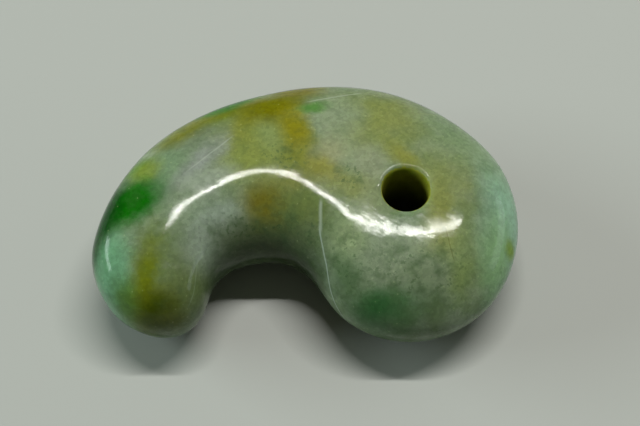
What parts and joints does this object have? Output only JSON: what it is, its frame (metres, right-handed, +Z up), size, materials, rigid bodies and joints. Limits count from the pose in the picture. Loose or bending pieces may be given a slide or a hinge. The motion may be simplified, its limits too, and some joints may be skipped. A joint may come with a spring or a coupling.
{
  "type": "magatama pendant stone",
  "caption": "Comma-shaped polished jade pendant with a rounded back, a tapering tail, an open notch and a bore through the head.",
  "frame": {"origin": "on the bore's axis, in the stone's middle plane, about midway through the head", "axes": "+Z up through the bore from the resting flat, +X along the stone's length towards the head's rim, +Y towards the rounded back, so the notch opens towards -Y"},
  "size_m": [0.035, 0.0231, 0.0102],
  "materials": {
    "polished_jade": "polished, mottled pale green with emerald and ochre zones"
  },
  "bodies": {
    "root": {"magatama_stone": "polished_jade"}
  },
  "joints": []
}
